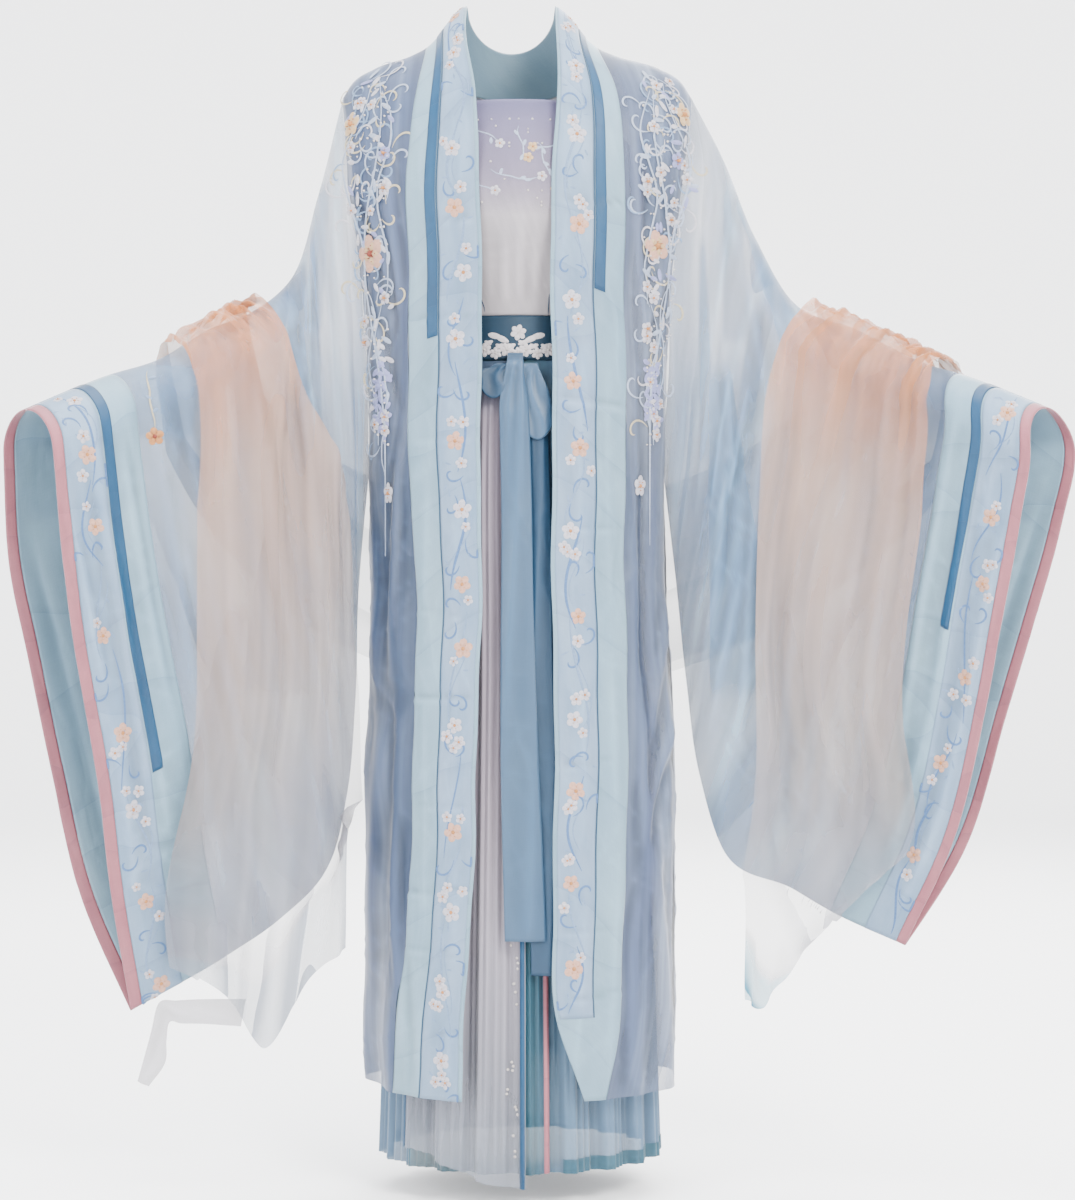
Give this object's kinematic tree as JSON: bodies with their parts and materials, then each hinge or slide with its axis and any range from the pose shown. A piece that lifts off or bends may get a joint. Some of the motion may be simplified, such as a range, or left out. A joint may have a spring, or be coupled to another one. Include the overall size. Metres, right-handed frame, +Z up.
{
  "type": "hanfu",
  "caption": "Hanfu set as worn with nobody in it: sheer robe with very large open sleeves, printed lapels and cuffs, bodice, tied waistband, pleated skirt and long scarf.",
  "frame": {"origin": "between the shoulders at the base of the neck, where a stand or a wearer holds the set up", "axes": "+Z up, the front faces -Y, the wearer's left is at +X"},
  "size_m": [1.2171, 0.367, 1.362],
  "materials": {
    "sheer_grey_blue": "sheer organza",
    "pale_aqua": "matt satin",
    "printed_band": "printed",
    "deep_teal": "matt",
    "dusty_pink": "matt",
    "cream": "matt",
    "mauve": "embroidered",
    "white_lace": "lace",
    "slate_ribbon": "satin",
    "skirt_blue": "fine pleated",
    "overskirt_mist": "sheer pleated",
    "scarf_peach": "sheer"
  },
  "bodies": {
    "root": {"robe_back": "sheer_grey_blue", "robe_front_left": "sheer_grey_blue", "robe_front_right": "sheer_grey_blue", "sleeve_back_left": "sheer_grey_blue", "sleeve_back_right": "sheer_grey_blue", "sleeve_front_left": "sheer_grey_blue", "sleeve_front_right": "sheer_grey_blue", "lapel_left": "pale_aqua", "lapel_right": "pale_aqua", "collar_back": "pale_aqua", "cuff_back_left": "pale_aqua", "cuff_back_right": "pale_aqua", "cuff_front_left": "pale_aqua", "cuff_front_right": "pale_aqua", "lapel_print_left": "printed_band", "lapel_print_right": "printed_band", "collar_print_back": "printed_band", "cuff_print_back_left": "printed_band", "cuff_print_back_right": "printed_band", "cuff_print_front_left": "printed_band", "cuff_print_front_right": "printed_band", "lapel_guard_left": "deep_teal", "lapel_guard_right": "deep_teal", "collar_guard_back": "deep_teal", "cuff_guard_back_left": "deep_teal", "cuff_guard_back_right": "deep_teal", "cuff_guard_front_left": "deep_teal", "cuff_guard_front_right": "deep_teal", "waistband_front": "deep_teal", "waistband_back": "deep_teal", "skirt_hem_front": "deep_teal", "skirt_hem_back": "deep_teal", "overskirt_edge": "deep_teal", "overskirt_side_edge": "deep_teal", "cuff_binding_back_left": "dusty_pink", "cuff_binding_back_right": "dusty_pink", "cuff_binding_front_left": "dusty_pink", "cuff_binding_front_right": "dusty_pink", "skirt_stripe": "dusty_pink", "bodice_front": "cream", "bodice_back": "cream", "bodice_overlay": "mauve", "lace_trim": "white_lace", "tie_end_front": "slate_ribbon", "tie_end_behind": "slate_ribbon", "bow_loop_left": "slate_ribbon", "bow_loop_right": "slate_ribbon", "skirt_front": "skirt_blue", "skirt_back": "skirt_blue", "overskirt": "overskirt_mist", "scarf": "scarf_peach", "scarf_tail": "scarf_peach"}
  },
  "joints": []
}
